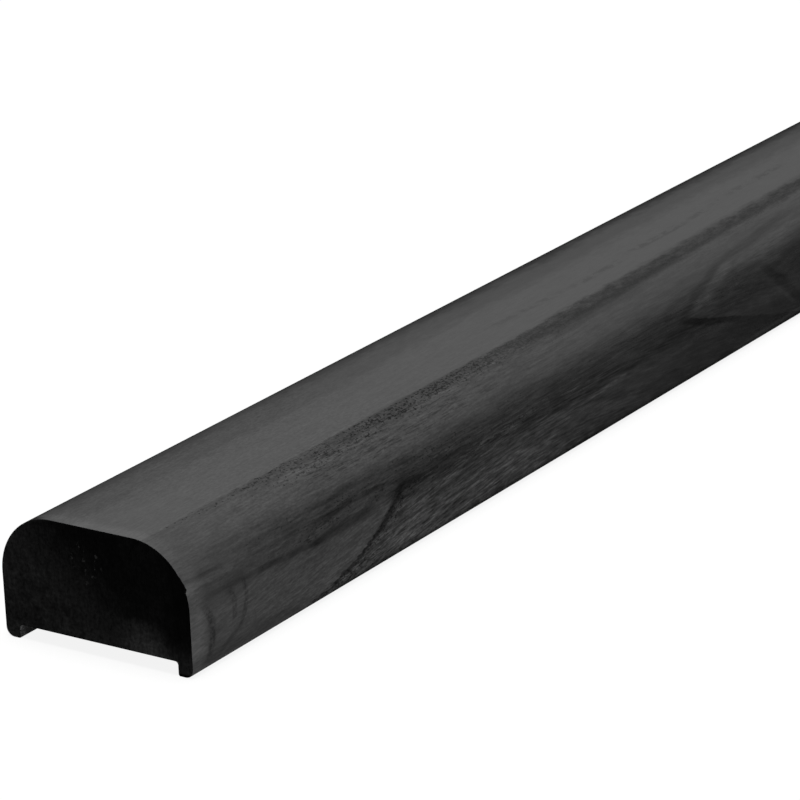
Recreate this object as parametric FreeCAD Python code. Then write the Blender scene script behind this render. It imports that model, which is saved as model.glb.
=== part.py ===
import FreeCAD, Part
import os
from math import sin, tan

# One length of moulded wooden stair handrail: a flat top, two rounded shoulders,
# upright sides, and a wide shallow groove ploughed along the underside, which
# leaves a thin lip down each side. Both ends are sawn square.
# Sizes are in millimetres: X across the rail, Y along it, Z up.
# The rail lies on its two lips, and the origin is on the floor under its middle.

# Driving dimensions
rail_length = 2400.0  # one stock length, from sawn end to sawn end
rail_width = 70.0  # from side to side
rail_height = 41.0  # from the underside of the lips to the flat top
shoulder_radius = 20.0  # rounding between the flat top and each side
lip_width = 5.5  # wood left beside the groove, on each side
groove_depth = 4.5  # from the underside of the lips to the groove's ceiling
groove_corner_radius = 1.0  # hollow corner where the ceiling meets each lip
lip_outer_radius = 3.0  # eased outside corner of each lip
lip_inner_radius = 0.8  # eased corner of each lip at the mouth of the groove

# Dimensions that follow
half_width = rail_width / 2
half_groove = half_width - lip_width
groove_width = 2 * half_groove


def kept_share(flat, *radii):
    """The share of their size that the roundings at the ends of one flat keep: all, if it has room."""
    return min(1.0, flat / sum(radii))


lip_share = kept_share(lip_width, lip_outer_radius, lip_inner_radius)
groove_wall_share = kept_share(groove_depth, lip_inner_radius, groove_corner_radius)
ceiling_share = kept_share(groove_width, groove_corner_radius, groove_corner_radius)
side_share = kept_share(rail_height, shoulder_radius, lip_outer_radius)
top_share = kept_share(rail_width, shoulder_radius, shoulder_radius)


def right_half_corners():
    """Sharp corners right of the middle, from the groove round to the top, each with its rounding."""
    return [
        (half_groove, groove_depth, groove_corner_radius * min(groove_wall_share, ceiling_share)),
        (half_groove, 0.0, lip_inner_radius * min(groove_wall_share, lip_share)),
        (half_width, 0.0, lip_outer_radius * min(lip_share, side_share)),
        (half_width, rail_height, shoulder_radius * min(side_share, top_share)),
    ]


def section_corners():
    """All the corners of the section in order, the left half mirrored from the right one."""
    right = right_half_corners()
    left = [(-x, z, radius) for x, z, radius in reversed(right)]
    return right + left


def rounded_corner(last, corner, following, radius):
    """The tangent arc that rounds one corner, between the two points where it leaves the straight runs."""
    to_last = (last - corner).normalize()
    to_following = (following - corner).normalize()
    half_angle = to_last.getAngle(to_following) / 2
    start = corner + to_last * (radius / tan(half_angle))
    end = corner + to_following * (radius / tan(half_angle))
    inward = (to_last + to_following).normalize()
    middle = corner + inward * (radius / sin(half_angle) - radius)
    return start, Part.Arc(start, middle, end).toShape(), end


def section_wire(y):
    """The closed outline of the section at y along the rail: straight runs joined by tangent arcs."""
    corners = section_corners()
    points = [FreeCAD.Vector(x, y, z) for x, z, _ in corners]
    following = points[1:] + points[:1]
    rounds = [
        rounded_corner(points[i - 1], points[i], following[i], corners[i][2]) for i in range(len(points))
    ]
    edges = []
    for (_, arc, end), (next_start, _, _) in zip(rounds, rounds[1:] + rounds[:1]):
        edges.append(arc)
        if not end.isEqual(next_start, Part.Precision.confusion()):
            edges.append(Part.makeLine(end, next_start))
    return Part.Wire(edges)


def moulded_rail():
    """The section carried straight from one sawn end to the other."""
    section = Part.Face(section_wire(-rail_length / 2))
    return section.extrude(FreeCAD.Vector(0, rail_length, 0))


os.makedirs("parts", exist_ok=True)
handrail = moulded_rail()
handrail.exportStep("parts/handrail.step")
print("handrail", "valid", handrail.isValid(), "volume mm3", round(handrail.Volume))
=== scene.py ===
import math
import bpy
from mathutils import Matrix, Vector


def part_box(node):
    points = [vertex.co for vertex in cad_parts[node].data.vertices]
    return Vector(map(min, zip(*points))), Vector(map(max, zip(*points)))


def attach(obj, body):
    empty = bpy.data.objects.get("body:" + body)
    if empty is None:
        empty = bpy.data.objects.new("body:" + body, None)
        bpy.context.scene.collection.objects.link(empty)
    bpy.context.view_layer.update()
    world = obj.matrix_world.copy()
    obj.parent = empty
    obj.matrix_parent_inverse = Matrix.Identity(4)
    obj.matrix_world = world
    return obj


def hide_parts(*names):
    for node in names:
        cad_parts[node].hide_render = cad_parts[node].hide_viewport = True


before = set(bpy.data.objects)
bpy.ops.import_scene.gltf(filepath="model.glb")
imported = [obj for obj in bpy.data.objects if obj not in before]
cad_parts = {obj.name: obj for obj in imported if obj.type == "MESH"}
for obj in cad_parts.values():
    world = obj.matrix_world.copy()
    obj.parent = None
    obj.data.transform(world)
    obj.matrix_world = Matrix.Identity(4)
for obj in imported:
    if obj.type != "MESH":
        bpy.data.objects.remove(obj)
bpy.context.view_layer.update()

from types import SimpleNamespace
import bmesh
import bpy
from mathutils import Matrix

railLow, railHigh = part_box("handrail")
railWidth = railHigh.x - railLow.x
railLength = railHigh.y - railLow.y
railHeight = railHigh.z - railLow.z
nearEnd = railLow.y
print("frame loaded: rail", round(railWidth, 4), round(railLength, 4), round(railHeight, 4))


# Helpers for picking

def deselectAll():
    if bpy.context.object and bpy.context.object.mode != "OBJECT":
        bpy.ops.object.mode_set(mode="OBJECT")
    bpy.ops.object.select_all(action="DESELECT")


def selectWhere(piece, kind, test):
    bpy.ops.mesh.select_mode(type=kind)
    bpy.ops.mesh.select_all(action="DESELECT")
    shape = bmesh.from_edit_mesh(piece.data)
    for part in {"VERT": shape.verts, "EDGE": shape.edges, "FACE": shape.faces}[kind]:
        part.select_set(test(part))
    shape.select_flush_mode()
    bmesh.update_edit_mesh(piece.data)


def near(value, target, closeEnough=1e-6):
    return abs(value - target) < closeEnough


# The moulded rail

rail = {
    "shoulderRadius": 0.020,
    "shoulderSteps": 40,  # flats round each shoulder, fine enough to look like an arc
    "lipWidth": 0.0055,
    "grooveDepth": 0.0045,
    "grooveCorner": 0.0010,
    "lipOuterRadius": 0.0030,
    "lipInnerRadius": 0.0008,
    "smallSteps": 8,
    "sawnArris": 0.00025,  # the saw leaves the end edges very slightly broken
    "arrisSteps": 2,
    "chipRing": 0.0004,  # narrow ring left round each sawn end, for the chip to slope from
    "chipAcross": 0.0340,  # one small chip in the near end's right shoulder
    "chipHeight": 0.0275,
    "chipReaches": (0.0012, 0.0026, 0.0046),  # it deepens in steps down to an abrupt lower end
    "chipStep": 0.0003,
    "chipSlack": 0.0003,  # corners this far under its lower end still go with it
    "chipZone": 0.004,  # only corners this close to the sawn end
    "slices": 96,  # cross cuts along the length
    "endCorners": 20,  # a sawn end's own face has more corners than this
    "endFacing": 0.9,  # how squarely a face of the sawn end looks along the rail
    "flatAngle": 1.0,
    "smoothAngle": 30.0,
}


def drawSection():  # a plate at the near end, cut to the sharp outline of the section
    bpy.ops.mesh.primitive_plane_add(
        size=1, location=(0, nearEnd, railHeight / 2), rotation=(math.radians(90), 0, 0)
    )
    piece = bpy.context.object
    piece.name = piece.data.name = "mouldedRail"
    piece.scale = (railWidth, railHeight, 1)
    bpy.ops.object.transform_apply(location=True, rotation=True, scale=True)
    halfGroove = railWidth / 2 - rail["lipWidth"]
    bpy.ops.object.mode_set(mode="EDIT")
    for place, normal in (
        ((halfGroove, 0, 0), (1, 0, 0)),
        ((-halfGroove, 0, 0), (1, 0, 0)),
        ((0, 0, rail["grooveDepth"]), (0, 0, 1)),
    ):
        bpy.ops.mesh.select_all(action="SELECT")
        bpy.ops.mesh.bisect(plane_co=place, plane_no=normal)

    def inGroove(face):
        centre = face.calc_center_median()
        return abs(centre.x) < halfGroove and centre.z < rail["grooveDepth"]

    selectWhere(piece, "FACE", inGroove)
    bpy.ops.mesh.delete(type="FACE")
    bpy.ops.mesh.select_all(action="SELECT")
    bpy.ops.mesh.dissolve_limited(angle_limit=math.radians(rail["flatAngle"]))
    return piece


def roundCorners(piece):
    halfGroove = railWidth / 2 - rail["lipWidth"]
    for x, z, radius, steps in (
        (railWidth / 2, railHeight, rail["shoulderRadius"], rail["shoulderSteps"]),
        (railWidth / 2, 0, rail["lipOuterRadius"], rail["smallSteps"]),
        (halfGroove, 0, rail["lipInnerRadius"], rail["smallSteps"]),
        (halfGroove, rail["grooveDepth"], rail["grooveCorner"], rail["smallSteps"]),
    ):
        selectWhere(piece, "VERT", lambda vert: near(abs(vert.co.x), x) and near(vert.co.z, z))
        bpy.ops.mesh.bevel(affect="VERTICES", offset=radius, segments=steps, profile=0.5)


def carryAlong(piece):  # the section run out to the far sawn end, then cut across into slices
    bpy.ops.mesh.select_mode(type="FACE")
    bpy.ops.mesh.select_all(action="SELECT")
    bpy.ops.mesh.extrude_region_move(TRANSFORM_OT_translate={"value": (0, railLength, 0)})
    selectWhere(piece, "EDGE", lambda edge: abs(edge.verts[0].co.y - edge.verts[1].co.y) > railLength / 2)
    bpy.ops.mesh.subdivide(number_cuts=rail["slices"] - 1)


def facesEnd(face):
    return abs(face.normal.y) > rail["endFacing"]


def breakArrises(piece):
    def roundEnd(edge):
        atEnd = all(near(abs(vert.co.y), railLength / 2) for vert in edge.verts)
        return atEnd and not all(facesEnd(face) for face in edge.link_faces)

    selectWhere(piece, "EDGE", roundEnd)
    bpy.ops.mesh.bevel(
        affect="EDGES", offset=rail["sawnArris"], segments=rail["arrisSteps"], profile=0.5, material=-1
    )
    bpy.ops.mesh.select_all(action="SELECT")
    bpy.ops.mesh.normals_make_consistent(inside=False)


def finishEnds(piece, longGrain, endGrain):  # a narrow ring round each sawn end, and the two finishes
    selectWhere(piece, "FACE", lambda face: facesEnd(face) and len(face.verts) > rail["endCorners"])
    bpy.ops.mesh.inset(thickness=rail["chipRing"], depth=0, use_even_offset=True)
    piece.data.materials.append(longGrain)
    piece.data.materials.append(endGrain)
    selectWhere(piece, "FACE", facesEnd)
    piece.active_material_index = 1
    bpy.ops.object.material_slot_assign()


def chipArris(piece):  # the near end's arris pushed in along a few millimetres of the right shoulder
    for reach in rail["chipReaches"]:
        def onArris(vert):
            outside = not all(facesEnd(face) for face in vert.link_faces)
            above = vert.co.z > rail["chipHeight"] - rail["chipSlack"]
            atEnd = vert.co.y < nearEnd + rail["chipZone"]
            away = math.hypot(vert.co.x - rail["chipAcross"], vert.co.z - rail["chipHeight"])
            return outside and above and atEnd and away < reach

        selectWhere(piece, "VERT", onArris)
        bpy.ops.transform.translate(value=(0, rail["chipStep"], 0))


def makeRail(longGrain, endGrain):
    deselectAll()
    piece = drawSection()
    roundCorners(piece)
    carryAlong(piece)
    breakArrises(piece)
    finishEnds(piece, longGrain, endGrain)
    chipArris(piece)
    bpy.ops.object.mode_set(mode="OBJECT")
    bpy.ops.object.shade_smooth_by_angle(angle=math.radians(rail["smoothAngle"]))
    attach(piece, "root")
    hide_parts("handrail")
    print("rail moulded:", len(piece.data.vertices), "vertices,", len(piece.data.polygons), "faces")
    return piece


# Helpers for node trees. A value is a number or another node's output.

def plug(socket, value):
    if isinstance(value, bpy.types.NodeSocket):
        socket.id_data.links.new(value, socket)
    else:
        socket.default_value = value


def plugAll(node, values):
    for name, value in values.items():
        plug(node.inputs[name], value)


def addNode(kind, *values):  # in the tree that the values are in
    tree = next(value.id_data for value in values if isinstance(value, bpy.types.NodeSocket))
    return tree.nodes.new(kind)


def calc(operation, *values):
    node = addNode("ShaderNodeMath", *values)
    node.operation = operation
    for socket, value in zip(node.inputs, values):
        plug(socket, value)
    return node.outputs[0]


def inTurn(operation, values):
    result = values[0]
    for value in values[1:]:
        result = calc(operation, result, value)
    return result


def times(*values):
    return inTurn("MULTIPLY", values)


def plus(*values):
    return inTurn("ADD", values)


def minus(first, second):
    return calc("SUBTRACT", first, second)


def highest(*values):
    return inTurn("MAXIMUM", values)


def lowest(*values):
    return inTurn("MINIMUM", values)


# A fade is a smooth step. The dictionaries below give one as where it starts and ends, and then, unless
# they are 0 and 1, as its levels there.
def fade(value, start, end, low=0.0, high=1.0):
    node = addNode("ShaderNodeMapRange", value)
    node.interpolation_type = "SMOOTHSTEP"
    plugAll(node, {"Value": value, "From Min": start, "From Max": end, "To Min": low, "To Max": high})
    return node.outputs["Result"]


def fadeOut(value, start, end):
    return fade(value, start, end, 1.0, 0.0)


def between(value, rise, fall):
    return times(fade(value, *rise), fadeOut(value, *fall))


def splitAxes(vector):
    node = addNode("ShaderNodeSeparateXYZ", vector)
    plug(node.inputs[0], vector)
    return node.outputs


def joinAxes(x, y, z):
    node = addNode("ShaderNodeCombineXYZ", x, y, z)
    plugAll(node, {"X": x, "Y": y, "Z": z})
    return node.outputs[0]


def noise(vector, detail, roughness):
    node = addNode("ShaderNodeTexNoise", vector)
    plugAll(node, {"Vector": vector, "Scale": 1.0, "Detail": detail, "Roughness": roughness})
    return node.outputs["Fac"]


def mixColours(factor, first, second, clamp=True):
    node = addNode("ShaderNodeMix", factor)
    node.data_type = "RGBA"
    node.clamp_factor = clamp
    plug(node.inputs["Factor"], factor)
    plug(node.inputs[6], first)  # by number, as its colours share their names with other sockets
    plug(node.inputs[7], second)
    return node.outputs[2]


def newGroup(name, inputs, outputs):  # its inputs are numbers with a start value, or None for a vector
    tree = bpy.data.node_groups.new(name, "ShaderNodeTree")
    for label, value in inputs.items():
        kind = "NodeSocketVector" if value is None else "NodeSocketFloat"
        socket = tree.interface.new_socket(label, in_out="INPUT", socket_type=kind)
        if value is not None:
            socket.default_value = value
    for label in outputs:
        tree.interface.new_socket(label, in_out="OUTPUT", socket_type="NodeSocketFloat")
    return tree, tree.nodes.new("NodeGroupInput").outputs, tree.nodes.new("NodeGroupOutput").inputs


def useGroup(group, **values):  # an underscore in a keyword stands for the space in the socket's name
    node = addNode("ShaderNodeGroup", *values.values())
    node.node_tree = group
    plugAll(node, {name.replace("_", " "): value for name, value in values.items()})
    return node.outputs


# Wood node groups. Places and widths are in metres: "Around" runs round the section from the middle
# of the top, positive to the right and down the side, and "Along" runs from the near end.

woodShape = {
    "grooveMargin": 0.0002,  # the underside is counted up to this far above the groove's roof
    "noiseDetail": 3.0,
    "streakRoughness": 0.55,
    "streakLevels": (0.25, 0.75, -1.0, 1.0),
    "poreRoughness": 0.65,
    "poreLevels": (0.0, 1.0, 0.72, 0.45),  # noise above this is open, with hardly any pores and with many
    "poreEdge": 0.075,
    "behindTip": 0.06,  # an arch is worked out this far behind its tip and no further
    "strokeCore": 0.3,  # share of a stroke's half width that has its full strength
    "strokeEnds": (0.0, 0.8),
}


def makeGirthPosition():
    tree, given, result = newGroup(
        "girthPosition",
        {
            "Vector": None,
            "Half Flat": railWidth / 2 - rail["shoulderRadius"],
            "Shoulder Radius": rail["shoulderRadius"],
            "Spring Height": railHeight - rail["shoulderRadius"],
            "Groove Depth": rail["grooveDepth"] + woodShape["grooveMargin"],
            "Near End": nearEnd,
        },
        ("Around", "Along"),
    )
    axes = splitAxes(given["Vector"])
    across = calc("ABSOLUTE", axes["X"])
    flat = lowest(across, given["Half Flat"])
    outward = highest(minus(across, given["Half Flat"]), 0.0)
    upward = highest(minus(axes["Z"], given["Spring Height"]), 0.0)
    shoulder = times(calc("ARCTAN2", outward, upward), given["Shoulder Radius"])
    side = highest(minus(given["Spring Height"], axes["Z"]), 0.0)
    halfWidth = plus(given["Half Flat"], given["Shoulder Radius"])
    isUnder = calc("LESS_THAN", axes["Z"], given["Groove Depth"])
    under = times(minus(halfWidth, across), isUnder)
    girth = plus(flat, shoulder, side, under)
    plug(result["Around"], times(girth, calc("SIGN", axes["X"])))
    plug(result["Along"], minus(axes["Y"], given["Near End"]))
    return tree


def drawnOut(given):  # the vector counted in grains of the group's own width and length
    axes = splitAxes(given["Vector"])
    counted = [
        plus(calc("DIVIDE", axes[axis], given[size]), given["Shift"])
        for axis, size in (("X", "Width"), ("Y", "Length"), ("Z", "Width"))
    ]
    return joinAxes(*counted)


def makeFibres():  # streaks drawn out along the rail, from -1 to 1
    tree, given, result = newGroup(
        "fibres",
        {"Vector": None, "Width": 0.001, "Length": 0.03, "Shift": 0.0},
        ("Streak",),
    )
    grain = noise(drawnOut(given), woodShape["noiseDetail"], woodShape["streakRoughness"])
    plug(result["Streak"], fade(grain, *woodShape["streakLevels"]))
    return tree


def makePores():  # ragged little openings that crowd together as the amount nears 1
    tree, given, result = newGroup(
        "pores",
        {"Vector": None, "Width": 0.00075, "Length": 0.0013, "Shift": 0.0, "Amount": 0.5},
        ("Pore",),
    )
    grain = noise(drawnOut(given), woodShape["noiseDetail"], woodShape["poreRoughness"])
    start = fade(given["Amount"], *woodShape["poreLevels"])
    plug(result["Pore"], fade(grain, start, plus(start, woodShape["poreEdge"])))
    return tree


def makeArch():  # depth outside a growth line that arches over the surface, negative inside the arch
    tree, given, result = newGroup(
        "arch",
        {
            "Around": 0.0,
            "Along": 0.0,
            "Tip Around": 0.045,
            "Tip Along": 0.112,
            "Opens": 1.0,
            "Lower Spread": 0.024,
            "Lower Reach": 0.028,
            "Upper Spread": 0.001,
            "Upper Reach": 0.028,
        },
        ("Depth",),
    )
    past = times(minus(given["Along"], given["Tip Along"]), given["Opens"])
    past = highest(past, -woodShape["behindTip"])
    below = minus(given["Around"], given["Tip Around"])

    def arm(name):  # how far from the tip's line the arm has opened by here
        reaches = calc("DIVIDE", past, given[name + " Reach"])
        shrink = calc("EXPONENT", times(reaches, -1.0))
        return times(minus(1.0, shrink), given[name + " Spread"])

    underLower = minus(below, arm("Lower"))
    overUpper = minus(times(below, -1.0), arm("Upper"))
    plug(result["Depth"], highest(underLower, overUpper))
    return tree


def makeEarlywood():  # dark just outside a growth line, sharp against it and fading away from it
    tree, given, result = newGroup(
        "earlywood",
        {"Depth": 0.0, "Edge": 0.0003, "Core": 0.001, "Fade": 0.006},
        ("Dark",),
    )
    begun = fade(given["Depth"], times(given["Edge"], -1.0), given["Edge"])
    left = fadeOut(given["Depth"], given["Core"], given["Fade"])
    plug(result["Dark"], times(begun, left))
    return tree


def makeStroke():  # one soft line of the figure, bowed between its two ends
    tree, given, result = newGroup(
        "stroke",
        {
            "Run": 0.0,
            "Across": 0.0,
            "From": 0.0,
            "To": 0.01,
            "Start": 0.0,
            "End": 0.0,
            "Bow": 0.0,
            "Width": 0.001,
            "Strength": 0.3,
        },
        ("Dark",),
    )
    run = addNode("ShaderNodeMapRange", given["Run"])
    plugAll(run, {"Value": given["Run"], "From Min": given["From"], "From Max": given["To"]})
    part = run.outputs["Result"]
    rest = minus(1.0, part)
    hump = times(part, rest, 4.0)  # 1 halfway along the stroke and 0 at its ends
    straight = plus(times(rest, given["Start"]), times(part, given["End"]))
    middle = plus(straight, times(hump, given["Bow"]))
    off = calc("ABSOLUTE", minus(given["Across"], middle))
    line = fadeOut(off, times(given["Width"], woodShape["strokeCore"]), given["Width"])
    ends = fade(hump, *woodShape["strokeEnds"])
    plug(result["Dark"], times(line, ends, given["Strength"]))
    return tree


girthPosition = makeGirthPosition()
fibres = makeFibres()
pores = makePores()
arch = makeArch()
earlywood = makeEarlywood()
stroke = makeStroke()
print("wood node groups made")

# Each pattern's width, its length along the rail, and its shift, which tells one noise from another.
streakKinds = {
    "jag": (0.0009, 0.0050, 0.0),  # makes the growth lines ragged
    "wave": (0.0200, 0.0600, 5.0),
    "streak": (0.0011, 0.0130, 7.0),
    "broad": (0.0030, 0.0280, 2.0),
    "fleck": (0.0007, 0.0062, 9.0),
    "fine": (0.00045, 0.0055, 3.0),
    "grit": (0.0006, 0.0015, 12.0),
    "blotch": (0.0021, 0.0060, 15.0),
    "endCloud": (0.0050, 0.05, 1.0),
    "endMottle": (0.0024, 0.05, 10.0),
    "endGrit": (0.0012, 0.05, 6.0),
    "sawMark": (0.0007, 0.05, 8.0),
}
poreKinds = {
    "pore": (0.00075, 0.0013, 0.0),
    "dash": (0.00052, 0.0062, 17.0),
    "bead": (0.0013, 0.0013, 4.0),
    "dot": (0.0026, 0.0048, 27.0),
    "litLipSpot": (0.0015, 0.0025, 21.0),
    "endPore": (0.0006, 0.05, 0.0),
    "endSpeck": (0.0022, 0.05, 13.0),
}


def streaksOf(vector, kind):
    width, length, shift = streakKinds[kind]
    return useGroup(fibres, Vector=vector, Width=width, Length=length, Shift=shift)["Streak"]


def poresOf(vector, kind, amount):
    width, length, shift = poreKinds[kind]
    return useGroup(pores, Vector=vector, Width=width, Length=length, Shift=shift, Amount=amount)["Pore"]


def earlywoodOf(depth, edge, core, end):
    return useGroup(earlywood, Depth=depth, Edge=edge, Core=core, Fade=end)["Dark"]


def keep(lightness, dark, strength):  # lightness left after a dark mask of the given strength
    return times(lightness, minus(1.0, times(dark, strength)))


def varied(mask, grain, share):  # the mask made stronger and weaker by a streak
    return times(mask, plus(times(grain, share), 1.0))


def newFinish(name):
    material = bpy.data.materials.new(name)
    material.use_nodes = True
    tree = material.node_tree
    place = tree.nodes.new("ShaderNodeTexCoord").outputs["Object"]
    return material, tree, place


relief = {
    "strength": 0.5,
    "depth": 0.0002,
}


def wireFinish(tree, colour, roughness, gloss, height):
    bump = tree.nodes.new("ShaderNodeBump")
    plugAll(bump, {"Strength": relief["strength"], "Distance": relief["depth"], "Height": height})
    plugAll(tree.nodes["Principled BSDF"], {
        "Base Color": colour,
        "Roughness": roughness,
        "Specular IOR Level": gloss,
        "Normal": bump.outputs["Normal"],
    })


# The long grain. In these dictionaries a stretch is a fade in and a fade out.

lay = {  # how the figure lies on the surface
    "softStretch": ((0.11, 0.26), (0.44, 0.58)),  # along which the small grain is soft
    "softening": 0.75,
    "calmRise": (0.22, 0.30),  # the soft grain is calmer still from here on
    "wander": 0.0010,  # of the growth lines, over a few centimetres
    "ragged": 0.0007,  # and over a few millimetres
    "leftShift": 0.07,  # the left side carries the right side's figure turned end for end
    "sideRise": (0.036, 0.050),  # how far round the figure of a side begins
    "rightRise": (0.0170, 0.0190),
    "lively": (0.0, 0.07, 0.40, 1.0),  # the right side's streaks, along from the near end
    "flowSwing": 0.011,  # the streaks of the sides rise and fall between the islands
    "flowPeriod": 0.5,
    "flowCrest": 0.205,
    "flowFall": (0.063, 0.072),
}


def surfaceAt(place):  # where each point lies on the rail, and the streaks it is covered with
    girth = useGroup(girthPosition, Vector=place)
    at = SimpleNamespace(place=place, axes=splitAxes(place), along=girth["Along"], exact=girth["Around"])
    at.soft = between(at.along, *lay["softStretch"])
    at.crisp = minus(1.0, times(at.soft, lay["softening"]))
    at.calmer = times(fade(at.along, *lay["calmRise"]), at.soft)

    # round the section, wandering a little and then made ragged
    at.jag = streaksOf(place, "jag")
    at.calm = plus(at.exact, times(streaksOf(place, "wave"), lay["wander"]))
    at.signed = plus(at.calm, times(at.jag, at.crisp, lay["ragged"]))
    at.around = calc("ABSOLUTE", at.signed)
    at.side = fade(at.around, *lay["sideRise"])
    at.right = times(fade(at.signed, *lay["rightRise"]), fade(at.along, *lay["lively"]))

    # along the figure of either side
    onRight = calc("GREATER_THAN", at.exact, 0.0)
    turned = minus(railLength + lay["leftShift"], at.along)
    at.figureAlong = plus(times(onRight, at.along), times(minus(1.0, onRight), turned))

    at.flow = ledStreaks(at)
    for kind in ("streak", "broad", "fleck"):
        setattr(at, kind, streaksOf(at.flow, kind))
    for kind in ("fine", "grit", "blotch"):
        setattr(at, kind, streaksOf(place, kind))
    return at


def ledStreaks(at):  # the place with the streaks of the sides led up and down
    turn = times(minus(at.figureAlong, lay["flowCrest"]), 2 * math.pi / lay["flowPeriod"])
    reach = times(at.side, fadeOut(at.around, *lay["flowFall"]))
    lift = times(calc("COSINE", turn), reach, lay["flowSwing"])
    return joinAxes(at.axes["X"], at.axes["Y"], minus(at.axes["Z"], lift))


poredLine = {  # along the right shoulder
    "start": 0.0184,  # how far round it starts
    "drop": 0.0037,  # it draws in towards the top
    "dropStretch": (0.17, 0.45),
    "swing": 0.0025,  # and from there swings out and back
    "period": 1.1,
    "ragged": 0.0003,
    "blotched": 0.0006,
    "edge": (0.16, 0.37, 0.0005, 0.0026),  # how soft its upper edge is
    "edgeFall": (0.50, 0.60, 1.0, 0.3),
    "core": (0.0, 0.24, 0.0011, 0.0050),  # how far down it stays dark
    "end": (0.0, 0.13, 0.00368, 0.0080),  # and where it ends
    "level": (0.0, 0.07, 0.62, 1.0),
    "tailCore": 0.005,
    "tailEnd": 0.016,
    "tailLevel": (0.015, 0.07),
    "darkness": (0.05, 0.12, 0.24, 0.28),
    "furtherDarkness": (0.16, 0.27, 0.0, 0.17),
    "blotchShare": 0.08,
    "softBlotchShare": 0.25,
    "shadeRise": (0.0185, 0.0230),  # painted shade: the shoulder and side below the line are a little darker than the top, as if less light fell there
    "shadeLiftAlong": (0.11, 0.20),  # less so low down beyond here
    "shadeLiftAround": (0.040, 0.047),
    "shadeLift": 0.8,
}


def poredLineMasks(at):  # the line, its tail down the shoulder, the line's darkness, and the painted shade below the line
    dropFrom, dropTo = poredLine["dropStretch"]
    drop = fade(at.along, dropFrom, dropTo, 0.0, poredLine["drop"])
    further = highest(minus(at.along, dropTo), 0.0)
    turn = calc("COSINE", times(further, 2 * math.pi / poredLine["period"]))
    swing = times(minus(1.0, turn), poredLine["swing"])
    middle = plus(minus(poredLine["start"], drop), swing)
    depth = minus(plus(at.exact, times(at.jag, poredLine["ragged"])), middle)
    depth = plus(depth, times(at.blotch, at.soft, poredLine["blotched"]))
    edge = times(fade(at.along, *poredLine["edge"]), fade(at.along, *poredLine["edgeFall"]))
    core = fade(at.along, *poredLine["core"])
    end = fade(at.along, *poredLine["end"])
    line = times(earlywoodOf(depth, edge, core, end), fade(at.along, *poredLine["level"]))
    tail = earlywoodOf(depth, edge, poredLine["tailCore"], poredLine["tailEnd"])
    tail = times(tail, fade(at.along, *poredLine["tailLevel"]))
    lineDarkness = plus(
        fade(at.along, *poredLine["darkness"]), fade(at.along, *poredLine["furtherDarkness"])
    )
    share = plus(times(at.soft, poredLine["softBlotchShare"]), poredLine["blotchShare"])
    # painted shade below the line, lifted low on the side away from the near end
    lifted = times(
        fade(at.along, *poredLine["shadeLiftAlong"]), fade(at.around, *poredLine["shadeLiftAround"])
    )
    shade = keep(fade(at.signed, *poredLine["shadeRise"]), lifted, poredLine["shadeLift"])
    return line, tail, varied(lineDarkness, at.blotch, share), shade


leftBandAndShade = {  # a softer band of figure on the left shoulder, in two steps and a rim, by how far round they lie; the second step and the rim also carry painted shade where the shoulder turns from the light
    "rise": (-0.044, -0.027),
    "step": (-0.0105, -0.0030),
    "edge": (-0.0235, -0.0120),
    "edgeAlong": (0.08, 0.30, 0.60, 1.0),
    "rimRise": (-0.0330, -0.0262),
    "rimFall": (-0.0252, -0.0218),
    "blotched": 0.0012,
    "streakedFrom": (-0.028, -0.022),
    "edgeStreaks": 0.30,
    "rimStreaks": 0.45,
}


def leftBandAndShadeMasks(at):
    blotched = plus(at.signed, times(at.blotch, leftBandAndShade["blotched"]))
    rise = fade(at.signed, *leftBandAndShade["rise"])
    step = times(fadeOut(blotched, *leftBandAndShade["step"]), rise)
    edge = times(
        fadeOut(blotched, *leftBandAndShade["edge"]), rise, fade(at.along, *leftBandAndShade["edgeAlong"])
    )
    rim = times(fadeOut(at.signed, *leftBandAndShade["rimFall"]), fade(blotched, *leftBandAndShade["rimRise"]))
    streaked = fadeOut(at.signed, *leftBandAndShade["streakedFrom"])
    edge = varied(edge, at.streak, times(streaked, leftBandAndShade["edgeStreaks"]))
    rim = varied(rim, at.streak, times(streaked, leftBandAndShade["rimStreaks"]))
    return step, edge, rim


# Islands of latewood on the sides, each closed by an arching growth line at its near end, its far end or
# both. An arch is its tip's place around and along, its lower arm's spread and reach, and its upper arm's.
islands = (
    {"far": (0.0446, 0.1118, 0.0245, 0.027, 0.0036, 0.007)},
    {
        "near": (0.0430, 0.2925, 0.160, 0.560, 0.0120, 0.020),
        "far": (0.0465, 0.668, 0.030, 0.060, 0.010, 0.050),
    },
    {
        "near": (0.0500, 0.905, 0.022, 0.070, 0.016, 0.055),
        "far": (0.0430, 1.330, 0.034, 0.080, 0.005, 0.030),
    },
    {
        "near": (0.0455, 1.520, 0.028, 0.045, 0.007, 0.060),
        "far": (0.0490, 1.845, 0.018, 0.050, 0.012, 0.050),
    },
    {"near": (0.0440, 2.090, 0.026, 0.050, 0.014, 0.070)},
)

growthLine = {
    "edge": 0.0003,
    "core": (0.050, 0.060, 0.0015, 0.0009),
    "end": (0.050, 0.060, 0.0034, 0.0024),
    "haloCore": 0.002,
    "haloEnd": 0.016,
    "shownAround": ((0.0415, 0.046), (0.068, 0.074)),
}


def archDepth(at, values, opens):
    tipAround, tipAlong, lowerSpread, lowerReach, upperSpread, upperReach = values
    return useGroup(
        arch, Around=at.around, Along=at.figureAlong, Tip_Around=tipAround, Tip_Along=tipAlong,
        Opens=opens, Lower_Spread=lowerSpread, Lower_Reach=lowerReach, Upper_Spread=upperSpread,
        Upper_Reach=upperReach,
    )["Depth"]


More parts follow.
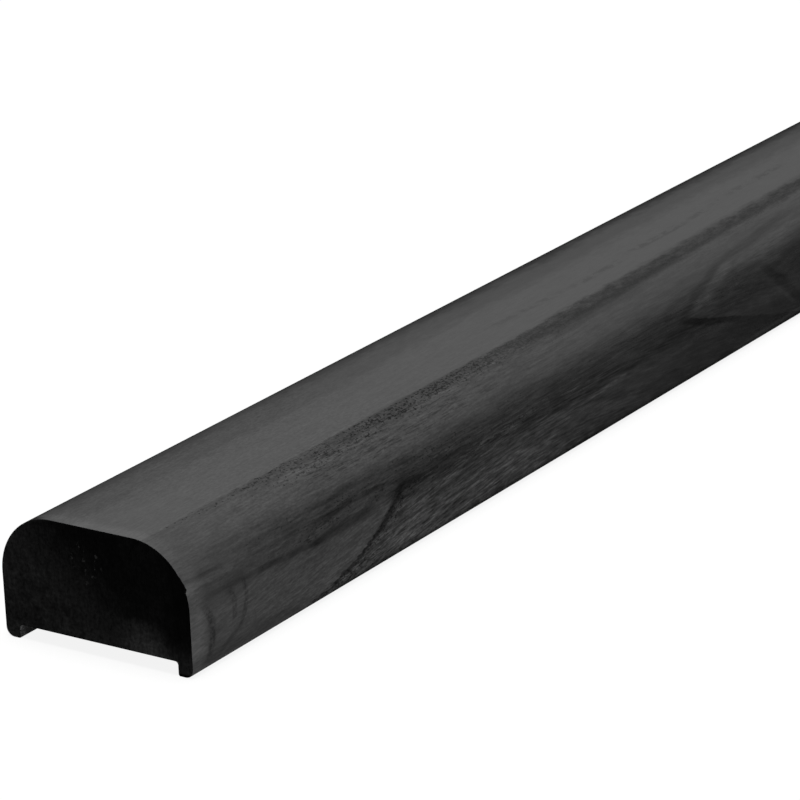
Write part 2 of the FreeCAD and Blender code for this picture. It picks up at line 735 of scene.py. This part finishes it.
def growthLineMasks(at):  # outside the islands, the growth lines, their halo, and how far round they show
    depths = []
    for island in islands:
        ends = [
            archDepth(at, island[end], opens)
            for end, opens in (("near", 1.0), ("far", -1.0))
            if end in island
        ]
        depths.append(highest(*ends))
    depth = lowest(*depths)
    edge = growthLine["edge"]
    outside = fade(depth, -edge, edge)
    shown = between(at.around, *growthLine["shownAround"])
    core = fade(at.around, *growthLine["core"])
    line = earlywoodOf(depth, edge, core, fade(at.around, *growthLine["end"]))
    halo = earlywoodOf(depth, edge, growthLine["haloCore"], growthLine["haloEnd"])
    return outside, line, halo, shown


darkZone = {  # under the shoulders
    "topDrops": (0.0, 0.12, 0.0, 0.0030),
    "topRise": (0.0285, 0.0362),
    "lowEdge": (0.100, 0.116, 0.0435, 0.0475),
    "lowFall": (0.0, 0.0060),
    "level": (0.0, 0.07, 0.42, 1.0),
    "lighterStretch": ((0.325, 0.355), (0.42, 0.50)),
    "lighter": 0.30,
}


def darkZoneMask(at):
    top = minus(at.around, fade(at.figureAlong, *darkZone["topDrops"]))
    low = minus(at.around, fade(at.figureAlong, *darkZone["lowEdge"]))
    lighter = between(at.figureAlong, *darkZone["lighterStretch"])
    return times(
        fade(top, *darkZone["topRise"]),
        fadeOut(low, *darkZone["lowFall"]),
        fade(at.figureAlong, *darkZone["level"]),
        minus(1.0, times(lighter, darkZone["lighter"])),
    )


# Single soft lines of the figure within 0.42 m of the near end, in millimetres: from and to along, the
# places around at both ends, the bow between them, the half width, and how dark (lighter if negative).
longLines = (
    # on the top and high on the shoulder
    (-30, 180, -3.5, -3.5, 0, 9, 0.05),
    (13, 36, 32.6, 33.2, 0, 1.3, 0.12),
    (60, 102, 23.6, 23.8, 0, 1.7, -0.19),
    (60, 106, 28.8, 28.8, 0, 1.6, 0.08),
    (62, 130, 25.4, 25.2, 0, 2, -0.08),
    (104, 186, 18.9, 18.6, 0, 1.7, 0.13),
    (124, 212, 23.4, 23.8, 0, 2.4, -0.12),
    (134, 214, 23, 23.4, 0, 1.9, -0.24),
    (212, 292, 25.4, 25.2, 0, 2.6, 0.16),
    (232, 326, 24.4, 22.4, 0, 2.2, 0.11),
    (276, 326, 18.2, 17.8, 0, 1.8, 0.15),
    (278, 326, 32, 31.8, 0, 1.6, 0.10),
    (312, 392, 32.9, 27.4, -0.9, 2.2, 0.20),
    (314, 388, 36, 32.6, -0.9, 2.2, -0.13),
    (328, 384, 35.8, 35.6, 0, 2.8, -0.15),
    (338, 405, 34, 33, 0, 3, -0.10),
    # low on the shoulder
    (-6, 22, 37.4, 37.8, 0, 0.9, 0.34),
    (0, 30, 41, 41.3, 0, 0.8, 0.12),
    (6, 48, 43.8, 45.4, 0.3, 1.5, 0.27),
    (18, 64, 39.6, 40.4, 0, 0.7, 0.13),
    (24, 66, 36, 37.2, 0, 0.7, 0.12),
    (30, 78, 42, 43.2, 0, 0.8, 0.06),
    (34, 72, 45, 46.6, 0, 1.7, 0.20),
    (38, 72, 45.2, 46.4, 0, 1.5, 0.18),
    (40, 84, 38.2, 41, 0, 1, 0.24),
    (58, 103, 45.6, 47.8, -0.3, 2.4, 0.42),
    (60, 98, 35.2, 37.6, 0, 1.5, 0.16),
    (60, 100, 43.4, 43.4, 0, 2.4, -0.18),
    (62, 92, 36.3, 37, 0, 0.8, 0.20),
    (66, 115, 40.2, 43.2, -0.8, 1.1, 0.38),
    (72, 134, 38.8, 39.2, 0, 1.7, 0.12),
    (80, 110, 43.4, 43.9, 0, 0.6, 0.12),
    (102, 128, 46.4, 45.8, -1, 1.7, 0.34),
    (106, 166, 40, 41, 0, 4.5, 0.08),
    (108, 156, 44.6, 45.6, 0, 3.6, 0.25),
    (138, 186, 45.6, 47, 0, 2.4, -0.24),
    (148, 178, 47.9, 47.2, 0, 1, 0.18),
    (174, 220, 48.5, 47.6, 0, 1.1, 0.10),
    (178, 196, 48, 47.6, 0, 0.7, 0.22),
    (190, 292, 39.4, 41, 0, 2.4, 0.13),
    (200, 262, 46.5, 49.5, 0, 1.4, 0.08),
    (276, 300, 39, 43.5, 0, 2.6, 0.16),
    (288, 328, 42.8, 31.6, -0.9, 2.4, 0.20),
    (293, 334, 44, 33.8, -0.8, 3, -0.36),
    (300, 356, 42, 46, 0, 5, -0.12),
    (328, 380, 36.4, 36.2, 0, 2.6, -0.12),
    (352, 404, 43.2, 38.4, 0, 1.9, 0.22),
    # on the side
    (8, 46, 51, 52, 0, 4.8, -0.10),
    (12, 27, 65, 58.4, 0, 1.2, 0.24),
    (30, 58, 63.6, 63.8, 0, 2.4, 0.12),
    (52, 90, 52, 53.4, 0, 2.4, 0.09),
    (54, 186, 62.8, 62, 0, 3.4, -0.10),
    (60, 235, 64.2, 63.4, 0, 4.2, -0.42),
    (62, 110, 62.5, 46.5, 2.2, 1.6, -0.10),
    (88, 290, 59.5, 61, 0, 6.5, -0.17),
    (94, 215, 56.5, 58.5, 0, 5.5, -0.20),
    (98, 204, 60.5, 60, 0, 5.5, -0.11),
    (106, 156, 50.8, 50, 0, 1.2, -0.14),
    (120, 168, 57.6, 55.4, 0, 0.8, 0.14),
    (128, 172, 53.2, 51.4, 0, 0.9, 0.16),
    (134, 182, 60.6, 58.4, 0, 0.9, 0.14),
    (140, 200, 49.6, 49.2, 0, 0.8, -0.14),
    (170, 232, 53.8, 54.6, 0, 1, -0.14),
    (180, 262, 50.9, 50.9, 0, 1.8, -0.30),
    (186, 202, 60.4, 60.4, 0, 0.8, 0.20),
    (204, 246, 52.6, 52, -0.4, 0.6, 0.20),
    (222, 243, 50.9, 50.9, 0, 0.9, -0.42),
    (242, 252, 50.6, 50.6, 0, 0.7, -0.30),
    (256, 270, 60.6, 60.6, 0, 1.2, 0.24),
    (286, 420, 47.5, 53, 0, 8.5, -0.28),
    (289, 298, 52.8, 52.8, 0, 1.2, -0.30),
    (322, 392, 65, 64.8, 0, 2, -0.55),
)

# The same for lines that run round the section: from and to around, then the places along.
crossLines = (
    (38, 64, 346, 383, 0, 4.6, 0.30),
    (46, 62, 351, 375, 0, 2.2, -0.24),
    (43, 62, 341, 355, 0, 6, -0.10),
    (37, 47, 306, 308, 0, 9, -0.24),
    (43, 58, 112, 92, 2, 1.5, 0.34),
    # painted highlight: a lighter strip along the near end's top edge
    (-34, 34, 0, 0, 0, 7, -0.22),
    (-34, -17, 2.2, -0.8, 0, 3.5, 0.95),
    (-27, 0, 0, 0, 0, 14, -0.13),
    (42, 67, 4.6, 6, 4.8, 3, 0.08),
    (29, 74, 1, 1, 0, 9, -0.50),
)

# Thin arcs round the section close to the near end, broken into beads.
beadLines = (
    (44, 66.5, 4.6, 5.6, 5.6, 2.3, 0.42),
    (43, 61.5, 25.6, 23, 3.6, 1.5, 0.40),
    (44, 58, 18.6, 20.6, 2.4, 1.8, 0.38),
)

# Faint rows of dots along the flat top, in the order of the long lines.
dotLines = (
    (206, 262, 7, 7.2, 0, 2, 0.13),
    (256, 306, 7.3, 6.8, 0, 2.2, 0.16),
    (300, 350, 5.6, 4.6, 0, 2.3, 0.17),
    (344, 380, 4.6, 3.4, 0, 2, 0.15),
    (376, 430, 2.8, 1, 0, 2.2, 0.15),
)

drawing = {  # how these lines take up the small grain, their beads and their dots
    "brushFine": 0.40,
    "brushFleck": 0.40,
    "brush": 0.6,
    "beadAmount": 0.9,
    "beadShare": 0.65,
    "beadRest": 0.40,
    "dotAmount": 0.90,
    "dotRest": 0.15,
}


def drawLines(strokes, run, across):  # the strokes of one list added up
    darks = []
    for begin, finish, start, end, bow, width, strength in strokes:
        darks.append(useGroup(
            stroke, Run=run, Across=across, From=begin / 1000, To=finish / 1000, Start=start / 1000,
            End=end / 1000, Bow=bow / 1000, Width=width / 1000, Strength=strength,
        )["Dark"])
    return plus(*darks)


def drawnFigureAndHighlight(at):
    brush = plus(times(at.fine, drawing["brushFine"]), times(at.fleck, drawing["brushFleck"]))
    bead = poresOf(at.place, "bead", drawing["beadAmount"])
    bead = plus(times(bead, drawing["beadShare"]), drawing["beadRest"])
    dot = plus(poresOf(at.place, "dot", drawing["dotAmount"]), drawing["dotRest"])
    return plus(
        varied(drawLines(longLines, at.along, at.calm), brush, drawing["brush"]),
        drawLines(crossLines, at.calm, at.along),
        times(drawLines(beadLines, at.calm, at.along), bead),
        times(drawLines(dotLines, at.along, at.calm), dot),
    )


porousness = {  # how closely the pores and the short dashes crowd in each part of the figure
    "crowding": 0.25,
    "line": (0.13, 0.17, 0.70, 0.78),
    "tail": 0.60,
    "zone": 0.48,
    "halo": 0.64,
    "outside": 0.27,
    "dashesAround": ((0.0195, 0.0225), (0.030, 0.036)),
    "dashesAlong": (0.045, 0.085),
    "dashesBelowLine": 0.72,
    "dashesInZone": 0.50,
    "dashesOutside": (0.19, 0.27, 0.44, 0.36),
    "poreDark": 0.65,  # times how crisp the grain is
    "poreLess": 0.065,  # and less this much
    "openStretch": ((0.09, 0.11), (0.17, 0.20)),
    "openDark": 0.15,
    "dashDark": 0.40,
    "dashLeast": 0.03,
}


def openPores(at, line, tail, halo):  # the pores and the short dashes, and how dark each kind is
    crowd = plus(times(at.broad, porousness["crowding"]), 1.0)
    amount = times(crowd, highest(
        times(line, fade(at.along, *porousness["line"])),
        times(tail, porousness["tail"]),
        times(at.zone, porousness["zone"]),
        times(halo, at.side, porousness["halo"]),
        times(at.sideOutside, porousness["outside"]),
    ))
    belowLine = times(
        between(at.signed, *porousness["dashesAround"]), fade(at.along, *porousness["dashesAlong"])
    )
    dashAmount = times(crowd, highest(
        times(belowLine, porousness["dashesBelowLine"]),
        times(at.zone, porousness["dashesInZone"]),
        times(at.sideOutside, fade(at.along, *porousness["dashesOutside"])),
    ))
    poreDark = minus(times(at.crisp, porousness["poreDark"]), porousness["poreLess"])
    openest = between(at.along, *porousness["openStretch"])
    poreDark = plus(poreDark, times(openest, porousness["openDark"]))
    dashDark = plus(times(at.crisp, at.crisp, porousness["dashDark"]), porousness["dashLeast"])
    pore = poresOf(at.place, "pore", amount)
    return pore, poreDark, poresOf(at.flow, "dash", dashAmount), dashDark


darkness = {  # how dark each part of the figure is, with the painted shade below the right shoulder's line, on the left shoulder and low on the right side
    "plain": 0.9,  # the lightness that they are taken from
    # painted shade below the right shoulder's pored line
    "shade": 0.16,
    "leftStep": 0.22,
    # the next two are partly figure and partly painted shade where the left shoulder turns from the light
    "leftEdgeGrainAndShade": 0.72,
    "leftRimGrainAndShade": 0.68,
    "zone": 0.34,
    "zoneDeeperStretch": ((0.04, 0.09), (0.17, 0.24)),
    "zoneDeeper": 0.08,
    "zoneStreaks": -0.12,
    "growth": (0.11, 0.16, 0.60, 0.52),
    "growthFaintStretch": ((0.315, 0.340), (0.40, 0.50)),
    "growthFaint": 0.38,
    "growthFlecks": 0.30,
    "halo": 0.15,
    # painted shade: the bottom few millimetres of the right side near the near end, darkened like a
    # contact shadow
    "contactShadeAround": (0.0600, 0.0650),
    "contactShadeAlong": (0.04, 0.10),
    "lowEdge": 0.35,
}


def figureAndShadeLightness(at):  # the lightness of the figure and of the painted shade and highlight before the streaks vary it, and the pores
    line, tail, lineDarkness, shade = poredLineMasks(at)
    leftStep, leftEdgeGrainAndShade, leftRimGrainAndShade = leftBandAndShadeMasks(at)
    outside, growth, halo, shown = growthLineMasks(at)
    at.sideOutside = times(at.side, outside)
    at.zone = darkZoneMask(at)
    pore, poreDark, dash, dashDark = openPores(at, line, tail, halo)

    deeper = between(at.figureAlong, *darkness["zoneDeeperStretch"])
    zoneDarkness = plus(
        times(deeper, darkness["zoneDeeper"]), times(at.streak, darkness["zoneStreaks"]), darkness["zone"]
    )
    faint = between(at.figureAlong, *darkness["growthFaintStretch"])
    growthDarkness = minus(
        fade(at.figureAlong, *darkness["growth"]), times(faint, darkness["growthFaint"])
    )
    growthDarkness = varied(growthDarkness, at.fleck, darkness["growthFlecks"])
    # painted contact shadow low on the right side near the near end
    lowEdge = times(
        fade(at.signed, *darkness["contactShadeAround"]), fadeOut(at.along, *darkness["contactShadeAlong"])
    )
    lightness = darkness["plain"]
    for mask, strength in (
        (line, lineDarkness),
        # painted shade below the right shoulder's pored line
        (shade, darkness["shade"]),
        (leftStep, darkness["leftStep"]),
        # partly figure, partly painted shade on the left shoulder
        (leftEdgeGrainAndShade, darkness["leftEdgeGrainAndShade"]),
        (leftRimGrainAndShade, darkness["leftRimGrainAndShade"]),
        (at.zone, zoneDarkness),
        (times(growth, shown), growthDarkness),
        (times(halo, shown), darkness["halo"]),
        (drawnFigureAndHighlight(at), 1.0),
        # painted contact shadow low on the right side
        (lowEdge, darkness["lowEdge"]),
        (pore, poreDark),
        (dash, dashDark),
    ):
        lightness = keep(lightness, mask, strength)
    return lightness, pore


# How strongly the streaks vary the lightness. What a name adds tells where a value counts: on the sides,
# outside the islands, on the right or the left, or as far as the grain is crisp, soft or calm.
texture = {
    "ripple": 0.02,
    "rippleCrisp": 0.015,
    "rippleSide": 0.05,
    "rippleRight": 0.08,
    "rippleOutside": (0.14, 0.17, 0.25, 0.23),
    "rippleCalmFrom": (0.20, 0.28),
    "rippleCalm": 0.6,
    "streak": 1.0,
    "streakCalm": 0.35,
    "broad": 0.5,
    "fleck": 0.4,
    "fleckCrisp": 0.8,
    "fleckCalm": 0.3,
    "grit": 0.075,
    "gritOutside": 0.06,
    "gritRight": 0.08,
    "gritLeftFall": (-0.008, 0.002),
    "gritLeftAlong": (0.10, 0.16),
    "gritLeft": 0.055,
    "gritNearStretch": ((0.02, 0.05), (0.11, 0.15)),
    "gritNear": 0.035,
    "fine": 0.04,
    "fineCalm": 0.02,
    "fineRight": 0.06,
    "blotch": 0.018,
    "blotchSoft": 0.055,
    "blotchZone": 0.07,
    "blotchStretch": ((0.135, 0.165), (0.20, 0.25)),
    "blotchSide": 0.10,
}


def rippled(at, lightness):  # varied by the streaks that follow the figure
    calming = times(fade(at.along, *texture["rippleCalmFrom"]), at.soft, texture["rippleCalm"])
    outside = times(at.sideOutside, fade(at.along, *texture["rippleOutside"]), minus(1.0, calming))
    ripple = plus(
        outside,
        times(at.side, texture["rippleSide"]),
        times(at.right, texture["rippleRight"]),
        times(at.crisp, texture["rippleCrisp"]),
        texture["ripple"],
    )
    streakShare = minus(texture["streak"], times(at.calmer, texture["streakCalm"]))
    fleckShare = plus(times(at.crisp, texture["fleckCrisp"]), texture["fleck"])
    fleckShare = minus(fleckShare, times(at.calmer, texture["fleckCalm"]))
    for grain, share in ((at.streak, streakShare), (at.broad, texture["broad"]), (at.fleck, fleckShare)):
        lightness = varied(lightness, times(grain, ripple), share)
    return lightness


def textured(at, lightness):  # varied by the grit, the finest streaks and the blotches
    leftGrit = times(
        fadeOut(at.signed, *texture["gritLeftFall"]), fadeOut(at.along, *texture["gritLeftAlong"])
    )
    gritShare = plus(
        times(at.sideOutside, texture["gritOutside"]),
        times(at.right, texture["gritRight"]),
        times(leftGrit, texture["gritLeft"]),
        times(between(at.along, *texture["gritNearStretch"]), texture["gritNear"]),
        texture["grit"],
    )
    fineShare = minus(
        plus(times(at.right, at.crisp, texture["fineRight"]), texture["fine"]),
        times(at.calmer, texture["fineCalm"]),
    )
    blotchShare = plus(
        times(at.side, between(at.along, *texture["blotchStretch"]), texture["blotchSide"]),
        times(at.zone, at.soft, texture["blotchZone"]),
        times(at.side, at.soft, texture["blotchSoft"]),
        texture["blotch"],
    )
    lightness = varied(lightness, times(at.grit, gritShare), at.crisp)
    lightness = varied(lightness, at.fine, fineShare)
    return varied(lightness, at.blotch, blotchShare)


paintedLipLight = {  # painted light: pale specks on the inner wall of the left lip near the end, standing in for light falling into the groove
    "colour": (0.55, 0.55, 0.55, 1),
    "across": ((-0.0012, -0.0004), (0.0010, 0.0020)),  # measured from the wall
    "height": (0.0046, 0.0050),
    "along": (0.010, 0.016),
    "amount": 0.95,
    "share": 0.65,
    "rest": 0.35,
}


def paintedLipLightMask(at):
    fromWall = plus(at.axes["X"], railWidth / 2 - rail["lipWidth"])
    spot = poresOf(at.place, "litLipSpot", paintedLipLight["amount"])
    return times(
        between(fromWall, *paintedLipLight["across"]),
        fadeOut(at.axes["Z"], *paintedLipLight["height"]),
        fadeOut(at.along, *paintedLipLight["along"]),
        plus(times(spot, paintedLipLight["share"]), paintedLipLight["rest"]),
    )


stain = {
    "lightColour": (0.1030, 0.1030, 0.1030, 1),
    "deepColour": (0.006, 0.006, 0.006, 1),
    "roughness": 0.6,
    "poreRoughness": 0.18,
    "fineRoughness": 0.05,
    "fineHeight": 0.15,
    "gloss": 0.0,
}


def makeLongGrain():
    material, tree, place = newFinish("stainedLongGrain")
    at = surfaceAt(place)
    lightness, pore = figureAndShadeLightness(at)
    lightness = textured(at, rippled(at, lightness))
    lightness = highest(lightness, 0.0)
    # not clamped, so the lightest streaks go a little past the light colour
    colour = mixColours(lightness, stain["deepColour"], stain["lightColour"], clamp=False)
    # painted light on the inner wall of the left lip
    colour = mixColours(paintedLipLightMask(at), colour, paintedLipLight["colour"])
    roughness = plus(
        times(pore, stain["poreRoughness"]), times(at.fine, stain["fineRoughness"]), stain["roughness"]
    )
    height = minus(times(at.fine, stain["fineHeight"]), pore)
    wireFinish(tree, colour, roughness, stain["gloss"], height)
    print("long grain finish made:", len(tree.nodes), "nodes")
    return material


endCut = {  # the sawn ends, with places across and in height
    "deepColour": (0.0015, 0.0015, 0.0015, 1),
    "lightColour": (0.110, 0.110, 0.110, 1),
    "roughness": 0.8,
    "cloudRoughness": 0.06,
    "gloss": 0.0,
    "sawStretch": 0.08,  # the saw marks run upright, drawn out by the inverse of this
    "pith": (-0.085, 0.012),  # the growth rings curve round a pith beside the rail
    "ringSpacing": 0.0036,
    "ringWander": 0.25,
    "ringFall": (0.0, 0.45),
    "ringPores": 0.8,
    "front": (-0.020, 0.016, 0.215, 0.03),  # the stain has soaked in deepest at the upper right
    "frontLean": 1.1,  # along a front that leans this much for its height
    "frontClouds": 0.008,
    "frontMottle": 0.003,
    "leftLight": (-0.033, -0.026),
    "leftLightness": 0.05,
    "lowLight": (0.004, 0.011),
    "lowLightness": 0.06,
    "patch": (0.017, 0.0060),  # a drier patch low on the right
    "patchReach": 0.0125,
    "patchWander": 0.002,
    "patchLightness": 0.26,
    "soakedAcross": (0.023, 0.031),
    "soakedHeight": (0.006, 0.016),
    "dryPlaces": (  # a few dry specks near the top and over the groove: a place, and where they thin out
        ((-0.003, 0.0295), (0.0050, 0.0085)),
        ((0.0130, 0.0058), (0.0015, 0.0040)),
    ),
    "speckAmount": 0.48,
    "speckLightness": 0.32,
    "soaked": 0.60,  # how much each of these darkens
    "rings": 0.12,
    "pores": 0.25,
    "clouds": 0.35,  # and how much each of these varies the lightness
    "mottle": 0.25,
    "sawMarks": 0.08,
    "grit": 0.42,
}


def makeEndGrain():
    material, tree, place = newFinish("stainedEndGrain")
    axes = splitAxes(place)
    cloud = streaksOf(place, "endCloud")
    mottle = streaksOf(place, "endMottle")
    grit = streaksOf(place, "endGrit")
    upright = joinAxes(axes["X"], axes["Y"], times(axes["Z"], endCut["sawStretch"]))
    saw = streaksOf(upright, "sawMark")

    def away(spot):
        aside = minus(axes["X"], spot[0])
        above = minus(axes["Z"], spot[1])
        return calc("SQRT", plus(times(aside, aside), times(above, above)))

    ring = calc("DIVIDE", away(endCut["pith"]), endCut["ringSpacing"])
    ring = calc("FRACT", plus(ring, times(cloud, endCut["ringWander"])))
    ring = fadeOut(ring, *endCut["ringFall"])
    pore = poresOf(place, "endPore", times(ring, endCut["ringPores"]))
    patch = plus(away(endCut["patch"]), times(cloud, endCut["patchWander"]))
    patch = fadeOut(patch, 0.0, endCut["patchReach"])
    dry = highest(*[fadeOut(away(spot), *thins) for spot, thins in endCut["dryPlaces"]])
    speck = poresOf(place, "endSpeck", endCut["speckAmount"])
    soaked = times(
        fade(axes["X"], *endCut["soakedAcross"]), fade(axes["Z"], *endCut["soakedHeight"])
    )

    lean = times(minus(axes["Z"], railHeight / 2), endCut["frontLean"])
    front = plus(
        axes["X"], lean, times(cloud, endCut["frontClouds"]), times(mottle, endCut["frontMottle"])
    )
    lightness = plus(
        fade(front, *endCut["front"]),
        times(fadeOut(axes["X"], *endCut["leftLight"]), endCut["leftLightness"]),
        times(fadeOut(axes["Z"], *endCut["lowLight"]), endCut["lowLightness"]),
        times(patch, endCut["patchLightness"]),
    )
    for mask, strength in ((soaked, "soaked"), (ring, "rings"), (pore, "pores")):
        lightness = keep(lightness, mask, endCut[strength])
    for grain, share in ((cloud, "clouds"), (mottle, "mottle"), (saw, "sawMarks"), (grit, "grit")):
        lightness = varied(lightness, grain, endCut[share])
    lightness = plus(lightness, times(speck, dry, endCut["speckLightness"]))
    colour = mixColours(lightness, endCut["deepColour"], endCut["lightColour"])
    roughness = plus(times(cloud, endCut["cloudRoughness"]), endCut["roughness"])
    wireFinish(tree, colour, roughness, endCut["gloss"], minus(saw, pore))
    print("end grain finish made:", len(tree.nodes), "nodes")
    return material


makeRail(makeLongGrain(), makeEndGrain())


# Floor, light and camera

studio = {
    "floorSize": 160.0,
    "floorColour": (0.13, 0.13, 0.13, 1),
    "floorShown": 0.88,  # light that only the camera and reflections see, so the floor shows white
    "worldColour": (1, 1, 1, 1),
    "worldLevel": 0.15,
    "sunPlace": (0, 0, 3),
    "sunStrength": 2.85,
    "sunSoftness": 30.0,
    "cardPlace": (0.205, -1.17, 0.001),  # a bright card lying on the floor beside the near end
    "cardSize": (0.35, 0.449),
    "cardTurned": -11.2,
    "cardPower": 0.36,
}


def seenStraight(tree):  # 1 to the camera and in reflections, 0 for the light that falls on things
    path = tree.nodes.new("ShaderNodeLightPath").outputs
    return highest(path["Is Camera Ray"], path["Is Glossy Ray"], path["Is Transmission Ray"])


def makeFloor():
    deselectAll()
    bpy.ops.mesh.primitive_plane_add(size=studio["floorSize"], location=(0, 0, railLow.z))
    floor = bpy.context.object
    floor.name = "studioFloor"
    material = bpy.data.materials.new("paleFloor")
    material.use_nodes = True
    tree = material.node_tree
    tree.nodes.clear()
    diffuse = tree.nodes.new("ShaderNodeBsdfDiffuse")
    plug(diffuse.inputs["Color"], studio["floorColour"])
    shown = tree.nodes.new("ShaderNodeEmission")
    plug(shown.inputs["Strength"], times(seenStraight(tree), studio["floorShown"]))
    joined = tree.nodes.new("ShaderNodeAddShader")
    plug(joined.inputs[0], diffuse.outputs[0])
    plug(joined.inputs[1], shown.outputs[0])
    output = tree.nodes.new("ShaderNodeOutputMaterial")
    plug(output.inputs["Surface"], joined.outputs[0])
    floor.data.materials.append(material)


def makeWorld():
    world = bpy.data.worlds.new("paleRoom")
    bpy.context.scene.world = world
    world.use_nodes = True
    tree = world.node_tree
    plugAll(tree.nodes["Background"], {
        "Color": studio["worldColour"],
        "Strength": highest(seenStraight(tree), studio["worldLevel"]),
    })


def makeLights():
    deselectAll()
    bpy.ops.object.light_add(type="SUN", location=studio["sunPlace"])
    sun = bpy.context.object
    sun.name = "overheadLight"
    sun.data.energy = studio["sunStrength"]
    sun.data.angle = math.radians(studio["sunSoftness"])
    bpy.ops.object.light_add(type="AREA", location=studio["cardPlace"])
    card = bpy.context.object
    card.name = "brightCard"
    card.data.shape = "RECTANGLE"
    card.data.size, card.data.size_y = studio["cardSize"]
    card.data.energy = studio["cardPower"]
    card.rotation_euler = (math.radians(180), 0, math.radians(studio["cardTurned"]))
    card.visible_camera = False


view = {
    "lens": 177.98,
    "sensor": 36.0,
    "place": (0.6860, -2.0454, 0.4632),
    "turned": 34.180,  # degrees to the left of straight along the rail
    "lookingDown": 19.575,
    "rolled": -2.234,
}


def makeCamera():
    bpy.ops.object.camera_add(location=view["place"])
    camera = bpy.context.object
    camera.data.lens = view["lens"]
    camera.data.sensor_width = view["sensor"]
    turn = (
        Matrix.Rotation(math.radians(view["turned"]), 4, "Z")
        @ Matrix.Rotation(math.radians(90 - view["lookingDown"]), 4, "X")
        @ Matrix.Rotation(math.radians(view["rolled"]), 4, "Z")
    )
    camera.rotation_euler = turn.to_euler()
    bpy.context.scene.camera = camera


makeFloor()
makeWorld()
makeLights()
makeCamera()
bpy.context.scene.view_settings.view_transform = "Standard"
print("floor, lights and camera set")
